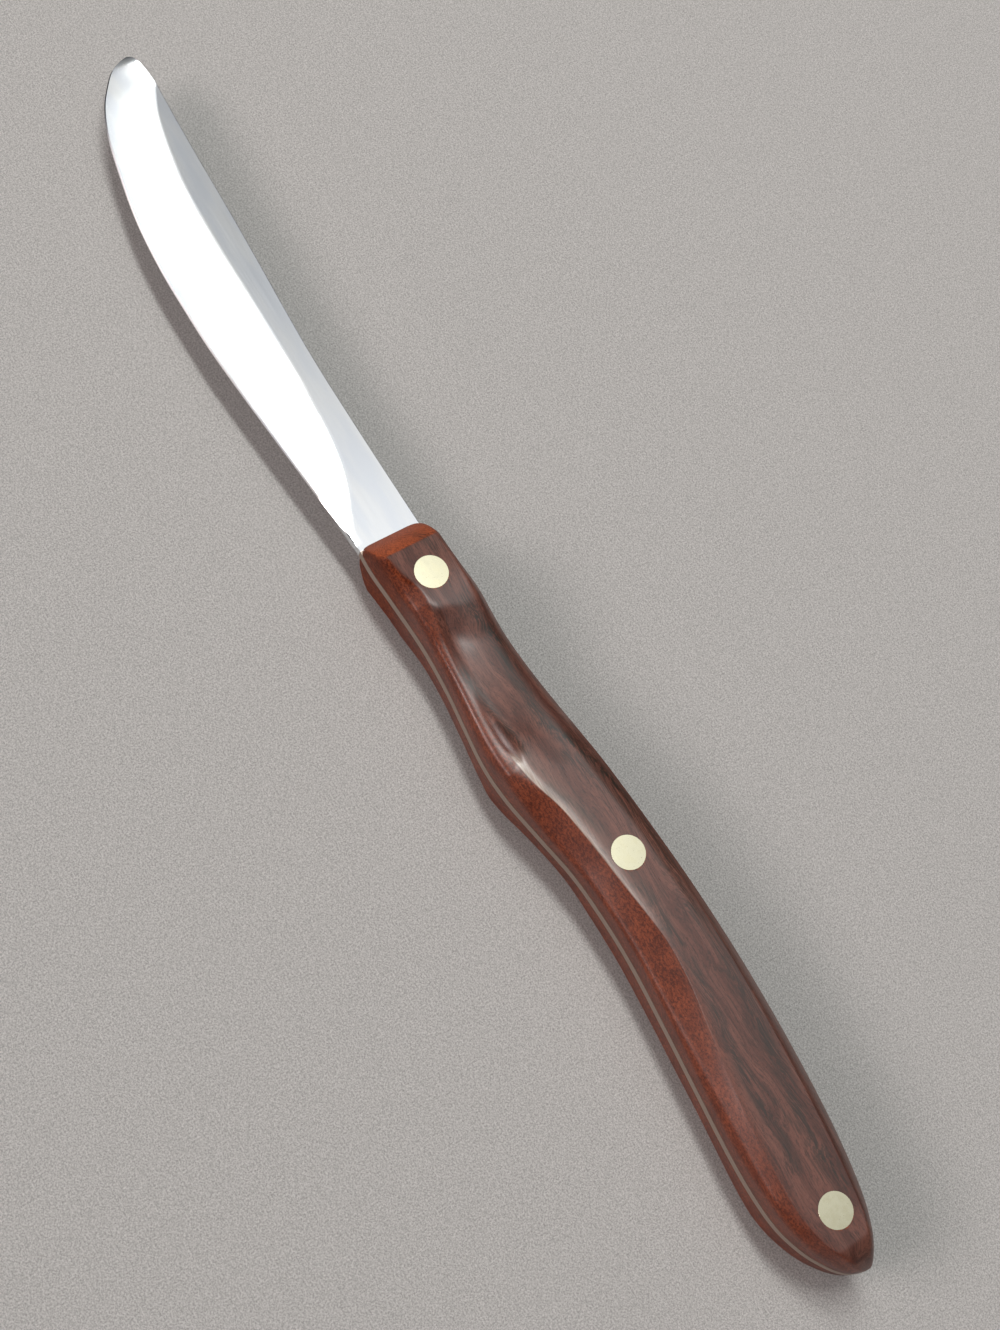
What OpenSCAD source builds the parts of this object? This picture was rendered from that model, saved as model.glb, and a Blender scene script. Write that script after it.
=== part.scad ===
// Table steak knife: a ground steel blade with a full tang between two
// sculpted scales, held by three two-part rivets with flush heads.
// The knife lies on its side: tip to -X, butt to +X, spine to +Y.
// The lower scale rests on z = 0 and the blade's flats are level.

/* [Blade] */
// Length of the blade in front of the handle
blade_l = 93.2; // [80:0.1:105]
// Greatest width of the blade
blade_w = 15.4; // [13:0.1:18]
// Thickness of the blade and its tang
blade_t = 1.5; // [1.2:0.1:2.5]
// Thickness left at the cutting edge
edge_t = 0.3; // [0.2:0.05:0.6]
// Depth of the hollow in each ground face
hollow_depth = 0.08; // [0:0.01:0.15]

/* [Handle] */
// Length of the handle
handle_l = 129.7; // [115:0.1:145]
// Width that the handle's outline is drawn to
handle_w = 16; // [15:0.1:18]
// Thickness of the handle over both flat faces
handle_t = 13; // [12:0.1:16]
// Length of the slope from the blade up to the front flat
front_slope_l = 4.6; // [4:0.1:7]
// Height of the lip where each scale meets the blade
front_lip_t = 0.4; // [0.3:0.1:1.5]
// Radius of the front corners of the scales
front_corner_r = 1.2; // [0.5:0.1:1.5]
// Length of the flat around the front rivet
front_flat_l = 11.8; // [10:0.1:13]
// Length of the thumb scoop behind the front flat
scoop_l = 27; // [22:0.5:32]
// Depth of the thumb scoop
scoop_depth = 1.9; // [1:0.1:2.5]
// Length over which the butt falls away
butt_slope_l = 8.5; // [7:0.1:11]

/* [Rivets] */
// Diameter of the rivet heads
head_d = 5.4; // [5:0.1:6]
// Thickness of the rivet heads
head_t = 1.4; // [1:0.1:2]
// Outer diameter of the sleeve half's tube
sleeve_d = 3.6; // [3.2:0.1:4.2]
// Diameter of the pin half's shank
pin_d = 2.4; // [1.8:0.1:2.8]
// Front rivet's distance from the handle's front edge
front_rivet_inset = 9.6; // [9:0.1:12]
// Rear rivet's distance from the butt
rear_rivet_inset = 10; // [9.5:0.1:13]
// Rise of the middle rivet above the line of the other two
middle_rivet_rise = 2.6; // [1.5:0.1:3.5]
// Clearance round the heads and shanks
fit_gap = 0.02; // [0.01:0.01:0.1]
// Space left between the end of a shank and the facing head
end_gap = 0.4; // [0.2:0.1:1]

/* [Hidden] */

half_t = handle_t / 2;
half_blade_t = blade_t / 2;
half_edge_t = edge_t / 2;
// Reach of every cut past the surface it opens
overrun = 1;
edge_overrun = 0.4;
// Height that the sculpted body stands above the flat before it is planed
plane_allowance = 0.5;
// Run of the spine round as a share of that height
plane_run_share = 1.2;

front_flat_end = front_slope_l + front_flat_l;
scoop_end = front_flat_end + scoop_l;
butt_start = handle_l - butt_slope_l;
middle_rivet_share = 0.472;
front_rivet_at = [front_rivet_inset, 0];
middle_rivet_at = [middle_rivet_share * handle_l, middle_rivet_rise];
rear_rivet_at = [handle_l - rear_rivet_inset, 0];
rivet_places = [front_rivet_at, middle_rivet_at, rear_rivet_at];

// Outline of the blade from the handle (0) to the tip (1), as shares of
// the blade's length and width, measured from the line of the end rivets
edge_shares = [[0, -0.38], [0.11, -0.44], [0.22, -0.497], [0.33, -0.55],
               [0.43, -0.587], [0.51, -0.592], [0.6, -0.582], [0.7, -0.523],
               [0.8, -0.4], [0.87, -0.287], [0.925, -0.143], [0.965, 0.032],
               [0.985, 0.15], [0.9955, 0.26], [0.9985, 0.315], [1, 0.352]];
blade_spine_shares = [[0, 0.328], [0.11, 0.318], [0.22, 0.312],
                      [0.33, 0.314], [0.43, 0.338], [0.54, 0.377],
                      [0.65, 0.41], [0.76, 0.435], [0.85, 0.461],
                      [0.925, 0.487], [0.945, 0.488], [0.965, 0.48],
                      [0.982, 0.459], [0.9935, 0.43], [0.9985, 0.398],
                      [1, 0.372]];
// Width of the ground face above the edge, as shares of the blade's length
// and width
grind_shares = [[0.008, 0.01], [0.028, 0.032], [0.055, 0.117],
                [0.109, 0.304], [0.163, 0.435], [0.216, 0.513],
                [0.27, 0.565], [0.324, 0.617], [0.43, 0.671], [0.54, 0.68],
                [0.65, 0.661], [0.755, 0.614], [0.862, 0.6], [0.931, 0.614],
                [0.965, 0.58], [1, 0.38]];
// Width of ground face at which the grinding has reached its full depth
runout_w = 5;

// Outline of the handle from the blade (0) to the butt (1), as shares of
// the handle's length and width, measured from the line of the end rivets
belly_shares = [[0, -0.366], [0.03, -0.377], [0.07, -0.36], [0.14, -0.338],
                [0.2, -0.364], [0.25, -0.414], [0.3, -0.456],
                [0.345, -0.44], [0.4, -0.365], [0.46, -0.278],
                [0.52, -0.25], [0.58, -0.256], [0.66, -0.311],
                [0.74, -0.376], [0.82, -0.436], [0.87, -0.45],
                [0.91, -0.426], [0.945, -0.342], [0.97, -0.234],
                [0.989, -0.112], [0.998, 0.01], [1, 0.11]];
spine_shares = [[0, 0.315], [0.015, 0.336], [0.035, 0.357], [0.076, 0.382],
                [0.11, 0.407], [0.15, 0.408], [0.19, 0.415], [0.23, 0.438],
                [0.27, 0.469], [0.31, 0.506], [0.35, 0.545], [0.4, 0.579],
                [0.46, 0.611], [0.52, 0.637], [0.58, 0.65], [0.64, 0.65],
                [0.7, 0.634], [0.76, 0.604], [0.82, 0.56], [0.87, 0.505],
                [0.91, 0.442], [0.94, 0.373], [0.96, 0.3], [0.975, 0.237],
                [0.99, 0.168], [1, 0.12]];

// Height of the sculpted top along the belly side, along the crease that
// the dish's floor ends at, and along the spine side. Rises and falls are
// shares of the zone they run over.
front_rise_shares = [[0.2, 0.42], [0.45, 0.68], [0.75, 0.89], [1, 1]];
belly_scoop_shares = [[-0.1, 0], [0.02, 0.42], [0.13, 0.8], [0.28, 0.96],
                      [0.45, 0.97], [0.61, 0.9], [0.72, 0.77], [0.82, 0.55],
                      [0.9, 0.27], [0.97, 0]];
crease_scoop_shares = [[-0.06, 0], [0.04, 0.42], [0.14, 0.79], [0.26, 0.87],
                       [0.38, 0.85], [0.5, 0.73], [0.61, 0.54], [0.71, 0.32],
                       [0.8, 0.06], [0.83, 0]];
spine_scoop_shares = [[-0.03, 0], [0.1, 0.36], [0.22, 0.7], [0.36, 0.78],
                      [0.52, 0.68], [0.7, 0.42], [0.88, 0.15], [1.05, 0]];
// Place where the top stands at its full height again, as a share of the
// scoop's length
crest_share = 1.17;
// Place of the crease, as a share of the way from the belly slope to the
// spine round
crease_share = 0.18;
butt_fall_shares = [[0, 1.06], [0.42, 1], [0.58, 0.93], [0.73, 0.8],
                    [0.86, 0.63], [0.95, 0.45], [1, 0.26]];

// Section of the scales: how far in the belly slope and the spine round
// reach, as shares of the local width
belly_reach_shares = [[0, 0.1], [0.03, 0.1], [0.06, 0.12], [0.08, 0.2],
                      [0.1, 0.213], [0.14, 0.16], [0.18, 0.125],
                      [0.22, 0.12], [0.28, 0.15], [0.306, 0.165],
                      [0.333, 0.175], [0.355, 0.197], [0.39, 0.238],
                      [0.43, 0.236], [0.46, 0.23], [0.5, 0.243],
                      [0.54, 0.278], [0.58, 0.31], [0.63, 0.295],
                      [0.69, 0.235], [0.77, 0.18], [0.85, 0.155],
                      [0.92, 0.125], [0.96, 0.12], [1, 0.18]];
spine_reach_shares = [[0, 0.1], [0.04, 0.18], [0.076, 0.21], [0.15, 0.26],
                      [0.3, 0.28], [0.42, 0.285], [0.6, 0.3], [0.85, 0.32],
                      [1, 0.3]];
// Height of the corner that the belly wall turns at, as a share of the
// local height, and the share of both sides of the corner kept straight
belly_corner_shares = [[0, 1], [0.04, 0.94], [0.06, 0.88], [0.085, 0.83],
                       [0.11, 0.85], [0.135, 0.92], [0.175, 0.98],
                       [0.22, 0.98], [0.26, 0.955], [0.28, 0.94],
                       [0.306, 0.92], [0.33, 0.89], [0.355, 0.78],
                       [0.38, 0.63], [0.414, 0.53], [0.454, 0.55],
                       [0.494, 0.63], [0.534, 0.68], [0.574, 0.7],
                       [0.613, 0.7], [0.653, 0.68], [0.693, 0.68],
                       [0.733, 0.66], [0.773, 0.65], [0.813, 0.7],
                       [0.853, 0.77], [0.883, 0.83], [0.913, 0.76],
                       [0.94, 0.67], [0.972, 0.56], [1, 0.55]];
belly_hold_shares = [[0, 0.6], [0.04, 0.6], [0.07, 0.74], [0.1, 0.78],
                     [0.14, 0.64], [0.2, 0.5], [0.29, 0.52], [0.33, 0.7],
                     [0.42, 0.84], [0.54, 0.86], [0.613, 0.85],
                     [0.653, 0.82], [0.693, 0.78], [0.733, 0.72],
                     [0.773, 0.69], [0.813, 0.67], [0.853, 0.72],
                     [0.883, 0.76], [0.91, 0.77], [1, 0.8]];
spine_hold_share = 0.08;
bend_share = 0.55;

// Stations along the handle, by zone, and points round each section
front_steps = 8;
front_flat_steps = 9;
scoop_steps = 30;
main_steps = 26;
butt_steps = 12;
wall_steps = 8;
rise_steps = 3;
top_steps = 4;
blade_steps = 56;
hollow_steps = 5;
round_fn = 48;

// Smooth curve through a table of [place, value] pairs
function ends_slope(t, i, j) = (t[j][1] - t[i][1]) / (t[j][0] - t[i][0]);
function slope_at(t, i) = ends_slope(t, max(i - 1, 0), min(i + 1, len(t) - 1));
function span_of(t, x, i = 0) =
    (i >= len(t) - 2 || x < t[i + 1][0]) ? i : span_of(t, x, i + 1);
function blend(a, b, slope_a, slope_b, w, u) =
    (2 * pow(u, 3) - 3 * pow(u, 2) + 1) * a
    + (pow(u, 3) - 2 * pow(u, 2) + u) * w * slope_a
    + (3 * pow(u, 2) - 2 * pow(u, 3)) * b
    + (pow(u, 3) - pow(u, 2)) * w * slope_b;
function along(t, x) =
    let (i = span_of(t, x),
         w = t[i + 1][0] - t[i][0],
         u = min(max((x - t[i][0]) / w, 0), 1))
    blend(t[i][1], t[i + 1][1], slope_at(t, i), slope_at(t, i + 1), w, u);

// Blade lines, at a distance x in front of the handle
function edge_y(x) = along(edge_shares, x / blade_l) * blade_w;
function blade_spine_y(x) = along(blade_spine_shares, x / blade_l) * blade_w;
function grind_w(x) = along(grind_shares, x / blade_l) * blade_w;

// Handle lines, at a distance x behind its front edge
function belly_y(x) = along(belly_shares, x / handle_l) * handle_w;
function spine_y(x) = along(spine_shares, x / handle_l) * handle_w;
function width_at(x) = spine_y(x) - belly_y(x);
function corner_inset(x) =
    x >= front_corner_r ? 0
    : front_corner_r - sqrt(pow(front_corner_r, 2) - pow(front_corner_r - x, 2));

function top_line(scoop_shares) = concat(
    [[0, half_blade_t + front_lip_t]],
    [for (s = front_rise_shares) [s[0] * front_slope_l, s[1] * half_t]],
    [[front_slope_l + front_flat_l / 2, half_t + plane_allowance]],
    [for (s = scoop_shares) [front_flat_end + s[0] * scoop_l,
                             half_t - s[1] * scoop_depth]],
    [[front_flat_end + crest_share * scoop_l, half_t + plane_allowance]],
    [[(scoop_end + butt_start) / 2, half_t + plane_allowance]],
    [for (s = butt_fall_shares) [butt_start + s[0] * butt_slope_l,
                                 s[1] * half_t]]);
belly_top_line = top_line(belly_scoop_shares);
crease_top_line = top_line(crease_scoop_shares);
spine_top_line = top_line(spine_scoop_shares);

// Curve from the foot of a wall, round its corner, to the top
function bend(p, q, r, s, u) =
    pow(1 - u, 3) * p + 3 * pow(1 - u, 2) * u * q
    + 3 * (1 - u) * pow(u, 2) * r + pow(u, 3) * s;
function wall_curve(foot, corner, top, hold) =
    let (low = foot + (corner - foot) * hold,
         high = top + (corner - top) * hold)
    concat([foot],
        [for (k = [0 : wall_steps - 2])
            bend(low, low + (corner - low) * bend_share,
                 high + (corner - high) * bend_share, high,
                 k / (wall_steps - 2))],
        [top]);
// Soft steps from 0 to 1: an even one, and one that is steepest early on
function ease(u) = u * u * (3 - 2 * u);
function level_off(u) = 1 - pow(1 - u, 3) * (1 + 3 * u);

// One section of the upper scale, from its belly foot over to its spine
// foot, as [y, z] with z from the blade's middle
function section(x) =
    let (low_y = belly_y(x) + corner_inset(x),
         high_y = spine_y(x) - corner_inset(x),
         belly_z = along(belly_top_line, x),
         crease_z = along(crease_top_line, x),
         spine_z = along(spine_top_line, x),
         reach = along(belly_reach_shares, x / handle_l) * width_at(x),
         back = along(spine_reach_shares, x / handle_l) * width_at(x),
         corner_z = along(belly_corner_shares, x / handle_l)
                    * min(belly_z, half_t),
         rise = max(belly_z - half_t, 0),
         run = rise == 0 ? 0 : rise * reach / (half_t - corner_z),
         hold = along(belly_hold_shares, x / handle_l),
         belly_top = [low_y + reach + run, belly_z],
         spine_top = [high_y - back - max(spine_z - half_t, 0) * plane_run_share,
                      spine_z],
         crease_top = [belly_top[0] + (spine_top[0] - belly_top[0]) * crease_share,
                       crease_z],
         spine_wall = wall_curve([high_y, half_blade_t], [high_y, spine_z],
                                 spine_top, spine_hold_share))
    concat(
        wall_curve([low_y, half_blade_t], [low_y, max(corner_z, half_blade_t)],
                   belly_top, hold),
        [for (k = [1 : rise_steps])
            let (u = k / rise_steps)
            [belly_top[0] + (crease_top[0] - belly_top[0]) * u,
             belly_top[1] + (crease_top[1] - belly_top[1]) * ease(u)]],
        [for (k = [1 : top_steps - 1])
            let (u = k / top_steps)
            [crease_top[0] + (spine_top[0] - crease_top[0]) * u,
             crease_top[1] + (spine_top[1] - crease_top[1]) * level_off(u)]],
        [for (k = [wall_steps : -1 : 0]) spine_wall[k]]);

// Places along the handle where a section is taken
function zone(start, end, steps) =
    [for (k = [0 : steps - 1]) start + (end - start) * k / steps];
stations = concat(
    [for (k = [0 : front_steps - 1]) front_slope_l * pow(k / front_steps, 2)],
    zone(front_slope_l, front_flat_end, front_flat_steps),
    zone(front_flat_end, scoop_end, scoop_steps),
    zone(scoop_end, butt_start, main_steps),
    [for (k = [0 : butt_steps])
        butt_start + butt_slope_l * sin(90 * k / butt_steps)]);

// Solid skin over a row of closed rings of equal count
module loft(rings) {
    n = len(rings);
    m = len(rings[0]);
    points = [for (ring = rings) each ring];
    sides = [for (i = [0 : n - 2], j = [0 : m - 1])
        let (a = i * m + j,
             b = i * m + (j + 1) % m,
             c = b + m,
             d = a + m)
        each [[a, b, c], [a, c, d]]];
    first_cap = [[for (j = [0 : m - 1]) m - 1 - j]];
    last_cap = [[for (j = [0 : m - 1]) (n - 1) * m + j]];
    polyhedron(points, concat(first_cap, sides, last_cap));
}

// Places in front of the handle, closer together towards both ends
function blade_place(start, end, k) =
    start + (end - start) * (1 - cos(180 * k / blade_steps)) / 2;

// The knife's own frame: middle of its box, resting on z = 0
blade_outline = concat(
    [for (k = [0 : blade_steps])
        let (x = blade_place(blade_l, 0, k))
        [-x, edge_y(x)]],
    [for (i = [1 : len(stations) - 1]) [stations[i], belly_y(stations[i])]],
    [for (i = [len(stations) - 1 : -1 : 1])
        [stations[i], spine_y(stations[i])]],
    [for (k = [0 : blade_steps])
        let (x = blade_place(0, blade_l, k))
        [-x, blade_spine_y(x)]]);
outline_y = [for (p = blade_outline) p[1]];
middle_x = (handle_l - blade_l) / 2;
middle_y = (max(outline_y) + min(outline_y)) / 2;
module seat() {
    translate([-middle_x, -middle_y, half_t]) children();
}

// Height of a ground face above the blade's middle, at a share u of the
// way from the edge to the line where the grinding starts
function ground_z(u, depth, hollow) =
    half_blade_t - depth * (1 - u) - 4 * hollow * u * (1 - u);

// Block that one ground face is cut away with
module grind_cut() {
    rings = [for (k = [0 : blade_steps])
        let (x = blade_place(blade_l + overrun, grind_shares[0][0] * blade_l, k),
             low = edge_y(x),
             width = grind_w(x),
             fade = min(width / runout_w, 1),
             depth = (half_blade_t - half_edge_t) * fade,
             hollow = hollow_depth * fade,
             outside = -edge_overrun / width)
        [for (p = concat(
            [[low - edge_overrun, ground_z(outside, depth, hollow)],
             [low - edge_overrun, half_blade_t + overrun],
             [low + width + overrun, half_blade_t + overrun]],
            [for (j = [hollow_steps : -1 : 1])
                let (u = j / hollow_steps)
                [low + width * u, ground_z(u, depth, hollow)]]))
            [-x, p[0], p[1]]]];
    loft(rings);
}

module blade() {
    color("#c9cdd2")
        seat()
            difference() {
                translate([0, 0, -half_blade_t])
                    linear_extrude(blade_t) polygon(blade_outline);
                grind_cut();
                mirror([0, 0, 1]) grind_cut();
                for (place = rivet_places)
                    translate([place[0], place[1], -half_blade_t - overrun])
                        cylinder(d = sleeve_d + 2 * fit_gap,
                                 h = blade_t + 2 * overrun, $fn = round_fn);
            }
}

// Hole for one rivet through a scale, with the head's counterbore
module rivet_hole() {
    cylinder(d = sleeve_d + 2 * fit_gap, h = half_t + overrun, $fn = round_fn);
    translate([0, 0, half_t - head_t])
        cylinder(d = head_d + 2 * fit_gap, h = head_t + overrun, $fn = round_fn);
}

// One scale with its face up, measured from the blade's middle
module scale_body() {
    difference() {
        loft([for (x = stations) [for (p = section(x)) [x, p[0], p[1]]]]);
        translate([-overrun, -handle_w, half_t])
            cube([handle_l + 2 * overrun, 2 * handle_w,
                  plane_allowance + overrun]);
        for (place = rivet_places)
            translate(place) rivet_hole();
    }
}

module upper_scale() {
    color("#6e3b2c") seat() scale_body();
}

module lower_scale() {
    color("#7a4230") seat() mirror([0, 0, 1]) scale_body();
}

// Pin half: a head with a solid shank that drives into the sleeve
module rivet_pin(place) {
    color("#e6e0c4")
        seat()
            translate(place) {
                translate([0, 0, half_t - head_t])
                    cylinder(d = head_d, h = head_t, $fn = round_fn);
                translate([0, 0, head_t + end_gap - half_t])
                    cylinder(d = pin_d, h = handle_t - 2 * head_t - end_gap,
                             $fn = round_fn);
            }
}

// Sleeve half: a head with a tube that runs through both scales
module rivet_sleeve(place) {
    color("#d9d3b8")
        seat()
            translate([place[0], place[1], -half_t])
                difference() {
                    union() {
                        cylinder(d = head_d, h = head_t, $fn = round_fn);
                        cylinder(d = sleeve_d,
                                 h = handle_t - head_t - end_gap,
                                 $fn = round_fn);
                    }
                    translate([0, 0, head_t])
                        cylinder(d = pin_d + 2 * fit_gap, h = handle_t,
                                 $fn = round_fn);
                }
}

blade();
upper_scale();
lower_scale();
rivet_pin(front_rivet_at);  // front_rivet_pin
rivet_sleeve(front_rivet_at);  // front_rivet_sleeve
rivet_pin(middle_rivet_at);  // middle_rivet_pin
rivet_sleeve(middle_rivet_at);  // middle_rivet_sleeve
rivet_pin(rear_rivet_at);  // rear_rivet_pin
rivet_sleeve(rear_rivet_at);  // rear_rivet_sleeve
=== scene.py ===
import math

import bmesh
import bpy
import numpy as np
from mathutils import Matrix, Vector


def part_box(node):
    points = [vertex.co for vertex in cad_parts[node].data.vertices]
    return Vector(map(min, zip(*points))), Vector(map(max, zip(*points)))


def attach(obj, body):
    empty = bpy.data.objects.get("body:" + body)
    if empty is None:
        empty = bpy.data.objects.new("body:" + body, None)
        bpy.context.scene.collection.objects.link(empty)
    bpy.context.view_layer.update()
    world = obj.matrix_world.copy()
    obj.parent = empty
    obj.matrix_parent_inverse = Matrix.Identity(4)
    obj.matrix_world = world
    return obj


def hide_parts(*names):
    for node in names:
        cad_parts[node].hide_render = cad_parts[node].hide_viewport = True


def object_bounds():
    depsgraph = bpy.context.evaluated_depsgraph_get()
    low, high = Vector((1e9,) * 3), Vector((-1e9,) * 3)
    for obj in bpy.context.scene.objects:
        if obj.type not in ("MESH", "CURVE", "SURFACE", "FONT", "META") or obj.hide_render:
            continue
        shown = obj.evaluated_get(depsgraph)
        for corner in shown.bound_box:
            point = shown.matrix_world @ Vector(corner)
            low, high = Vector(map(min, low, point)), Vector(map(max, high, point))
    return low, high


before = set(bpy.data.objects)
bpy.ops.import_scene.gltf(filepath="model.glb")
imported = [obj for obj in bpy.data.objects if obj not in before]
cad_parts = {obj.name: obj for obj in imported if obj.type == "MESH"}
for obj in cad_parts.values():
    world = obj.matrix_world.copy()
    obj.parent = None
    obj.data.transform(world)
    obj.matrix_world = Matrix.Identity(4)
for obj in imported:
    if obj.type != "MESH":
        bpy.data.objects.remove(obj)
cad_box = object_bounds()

# Lengths in this script are in millimetres, unless a comment says metres.
# x runs from the handle's front edge to the butt, y to the spine from the
# line of the end rivets, and z up from the blade's middle. in_row_frame puts
# points in the row frame, in metres.
MM = 0.001

# Sizes, as in the part's source
BLADE_L, BLADE_W, BLADE_T, EDGE_T, HOLLOW = 93.2, 15.4, 1.5, 0.3, 0.08
HANDLE_L, HANDLE_W, HANDLE_T = 129.7, 16.0, 13.0
FRONT_SLOPE_L, FRONT_LIP_T, FRONT_CORNER_R, FRONT_FLAT_L = 4.6, 0.4, 1.2, 11.8
SCOOP_L, SCOOP_DEPTH, BUTT_SLOPE_L = 27.0, 1.9, 8.5
HEAD_D, HEAD_T, SLEEVE_D, PIN_D = 5.4, 1.4, 3.6, 2.4
FRONT_INSET, REAR_INSET, MIDDLE_RISE, MIDDLE_SHARE = 9.6, 10.0, 2.6, 0.472
FIT_GAP, END_GAP = 0.02, 0.4
HALF_T, HALF_BLADE_T, HALF_EDGE_T = HANDLE_T / 2, BLADE_T / 2, EDGE_T / 2
PLANE_ALLOWANCE, PLANE_RUN, CREST, RUNOUT_W = 0.5, 1.2, 1.17, 5.0
SPINE_HOLD, BEND, CREASE_AT = 0.08, 0.55, 0.18
FRONT_FLAT_END = FRONT_SLOPE_L + FRONT_FLAT_L
SCOOP_END = FRONT_FLAT_END + SCOOP_L
BUTT_START = HANDLE_L - BUTT_SLOPE_L

# The front rivet's head in the row frame, which fixes this script's frame,
# and the lowest y that the solids' box leaves for the blade's edge
head_low, head_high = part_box("front_rivet_pin")
HEAD_CENTRE = Vector(((head_low.x + head_high.x) / 2, (head_low.y + head_high.y) / 2, head_high.z))
HEAD_AT = np.array([FRONT_INSET, 0, HALF_T])
EDGE_LIMIT = (cad_box[0][1] - HEAD_CENTRE.y) / MM

# Rivets' centres in plan, and each scale's mirror and shift of its grain
RIVETS = {"front": (FRONT_INSET, 0.0), "middle": (MIDDLE_SHARE * HANDLE_L, MIDDLE_RISE),
          "rear": (HANDLE_L - REAR_INSET, 0.0)}
SCALES = {"upper_scale": (1, (0.0, 0.0)), "lower_scale": (-1, (-5.1, -1.7))}

# Lines of the blade and the handle, as shares, as in the part's source
EDGE = [[0, -0.38], [0.11, -0.44], [0.22, -0.497], [0.33, -0.55], [0.43, -0.587],
        [0.51, -0.592], [0.6, -0.582], [0.7, -0.523], [0.8, -0.4], [0.87, -0.287],
        [0.925, -0.143], [0.965, 0.032], [0.985, 0.15], [0.9955, 0.26], [0.9985, 0.315],
        [1, 0.352]]
BLADE_SPINE = [[0, 0.328], [0.11, 0.318], [0.22, 0.312], [0.33, 0.314], [0.43, 0.338],
               [0.54, 0.377], [0.65, 0.41], [0.76, 0.435], [0.85, 0.461], [0.925, 0.487],
               [0.945, 0.488], [0.965, 0.48], [0.982, 0.459], [0.9935, 0.43],
               [0.9985, 0.398], [1, 0.372]]
GRIND = [[0.008, 0.01], [0.028, 0.032], [0.055, 0.117], [0.109, 0.304], [0.163, 0.435],
         [0.216, 0.513], [0.27, 0.565], [0.324, 0.617], [0.43, 0.671], [0.54, 0.68],
         [0.65, 0.661], [0.755, 0.614], [0.862, 0.6], [0.931, 0.614], [0.965, 0.58],
         [1, 0.38]]
BELLY = [[0, -0.366], [0.03, -0.377], [0.07, -0.36], [0.14, -0.338], [0.2, -0.364],
         [0.25, -0.414], [0.3, -0.456], [0.345, -0.44], [0.4, -0.365], [0.46, -0.278],
         [0.52, -0.25], [0.58, -0.256], [0.66, -0.311], [0.74, -0.376], [0.82, -0.436],
         [0.87, -0.45], [0.91, -0.426], [0.945, -0.342], [0.97, -0.234], [0.989, -0.112],
         [0.998, 0.01], [1, 0.11]]
SPINE = [[0, 0.315], [0.015, 0.336], [0.035, 0.357], [0.076, 0.382], [0.11, 0.407],
         [0.15, 0.408], [0.19, 0.415], [0.23, 0.438], [0.27, 0.469], [0.31, 0.506],
         [0.35, 0.545], [0.4, 0.579], [0.46, 0.611], [0.52, 0.637], [0.58, 0.65],
         [0.64, 0.65], [0.7, 0.634], [0.76, 0.604], [0.82, 0.56], [0.87, 0.505],
         [0.91, 0.442], [0.94, 0.373], [0.96, 0.3], [0.975, 0.237], [0.99, 0.168],
         [1, 0.12]]
FRONT_RISE = [[0.2, 0.42], [0.45, 0.68], [0.75, 0.89], [1, 1]]
BELLY_SCOOP = [[-0.1, 0], [0.02, 0.42], [0.13, 0.8], [0.28, 0.96], [0.45, 0.97],
               [0.61, 0.9], [0.72, 0.77], [0.82, 0.55], [0.9, 0.27], [0.97, 0]]
CREASE_SCOOP = [[-0.06, 0], [0.04, 0.42], [0.14, 0.79], [0.26, 0.87], [0.38, 0.85],
                [0.5, 0.73], [0.61, 0.54], [0.71, 0.32], [0.8, 0.06], [0.83, 0]]
SPINE_SCOOP = [[-0.03, 0], [0.1, 0.36], [0.22, 0.7], [0.36, 0.78], [0.52, 0.68],
               [0.7, 0.42], [0.88, 0.15], [1.05, 0]]
BUTT_FALL = [[0, 1.06], [0.42, 1], [0.58, 0.93], [0.73, 0.8], [0.86, 0.63], [0.95, 0.45],
             [1, 0.26]]
BELLY_REACH = [[0, 0.1], [0.03, 0.1], [0.06, 0.12], [0.08, 0.2], [0.1, 0.213], [0.14, 0.16],
               [0.18, 0.125], [0.22, 0.12], [0.28, 0.15], [0.306, 0.165], [0.333, 0.175],
               [0.355, 0.197], [0.39, 0.238], [0.43, 0.236], [0.46, 0.23], [0.5, 0.243],
               [0.54, 0.278], [0.58, 0.31], [0.63, 0.295], [0.69, 0.235], [0.77, 0.18],
               [0.85, 0.155], [0.92, 0.125], [0.96, 0.12], [1, 0.18]]
SPINE_REACH = [[0, 0.1], [0.04, 0.18], [0.076, 0.21], [0.15, 0.26], [0.3, 0.28],
               [0.42, 0.285], [0.6, 0.3], [0.85, 0.32], [1, 0.3]]
BELLY_CORNER = [[0, 1], [0.04, 0.94], [0.06, 0.88], [0.085, 0.83], [0.11, 0.85],
                [0.135, 0.92], [0.175, 0.98], [0.22, 0.98], [0.26, 0.955], [0.28, 0.94],
                [0.306, 0.92], [0.33, 0.89], [0.355, 0.78], [0.38, 0.63], [0.414, 0.53],
                [0.454, 0.55], [0.494, 0.63], [0.534, 0.68], [0.574, 0.7], [0.613, 0.7],
                [0.653, 0.68], [0.693, 0.68], [0.733, 0.66], [0.773, 0.65], [0.813, 0.7],
                [0.853, 0.77], [0.883, 0.83], [0.913, 0.76], [0.94, 0.67], [0.972, 0.56],
                [1, 0.55]]
BELLY_HOLD = [[0, 0.6], [0.04, 0.6], [0.07, 0.74], [0.1, 0.78], [0.14, 0.64], [0.2, 0.5],
              [0.29, 0.52], [0.33, 0.7], [0.42, 0.84], [0.54, 0.86], [0.613, 0.85],
              [0.653, 0.82], [0.693, 0.78], [0.733, 0.72], [0.773, 0.69], [0.813, 0.67],
              [0.853, 0.72], [0.883, 0.76], [0.91, 0.77], [1, 0.8]]

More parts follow.
